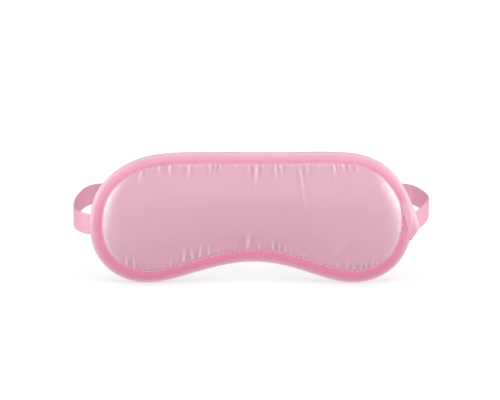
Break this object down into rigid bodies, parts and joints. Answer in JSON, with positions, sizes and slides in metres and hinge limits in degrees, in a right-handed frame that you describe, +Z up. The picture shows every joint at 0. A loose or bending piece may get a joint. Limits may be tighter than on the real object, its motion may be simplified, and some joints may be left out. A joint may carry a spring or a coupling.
{
  "type": "sleep mask",
  "caption": "Contoured padded satin sleep mask with a nose arch, a bound edge and a flat elastic head strap.",
  "frame": {"origin": "bottom centre of the mask's box: under the middle of the loop that pad and strap make, level with the pad's two lobes", "axes": "+X to the viewer's right along the pad, +Y from the satin front through the pad towards the wearer and the strap, +Z up"},
  "size_m": [0.2276, 0.0952, 0.0842],
  "materials": {
    "satin": "pale pink polyester satin with a soft sheen",
    "lining": "matt pink woven lining",
    "blackout": "matt black light-blocking cloth",
    "wadding": "white polyester wadding",
    "binding": "rose pink satin bias tape",
    "elastic": "pink woven elastic",
    "thread": "pale pink sewing thread"
  },
  "bodies": {
    "pad": {"back_panel": "lining", "blackout_liner": "blackout", "padding": "wadding", "front_panel": "satin", "edge_binding": "binding", "binding_tail": "binding", "binding_thread_back": "thread", "binding_thread_front": "thread", "tail_thread": "thread", "bartack_left": "thread", "bartack_right": "thread", "strap_end_left": "elastic", "strap_end_right": "elastic"},
    "strap": {"strap_side_left": "elastic", "strap_side_right": "elastic"},
    "strap_rear": {"strap_rear": "elastic"}
  },
  "joints": [
    {"name": "strap_swing", "type": "hinge", "parent": "pad", "child": "strap", "pos_m": [0, -0.03035, 0.0365], "axis": [1, 0, 0], "range_deg": [-70, 80], "stiffness_Nm_per_rad": 0.03},
    {"name": "strap_stretch", "type": "slide", "parent": "strap", "child": "strap_rear", "axis": [0, 1, 0], "range_m": [0, 0.08], "stiffness_N_per_m": 60, "deforming": ["strap_side_left", "strap_side_right"]}
  ]
}
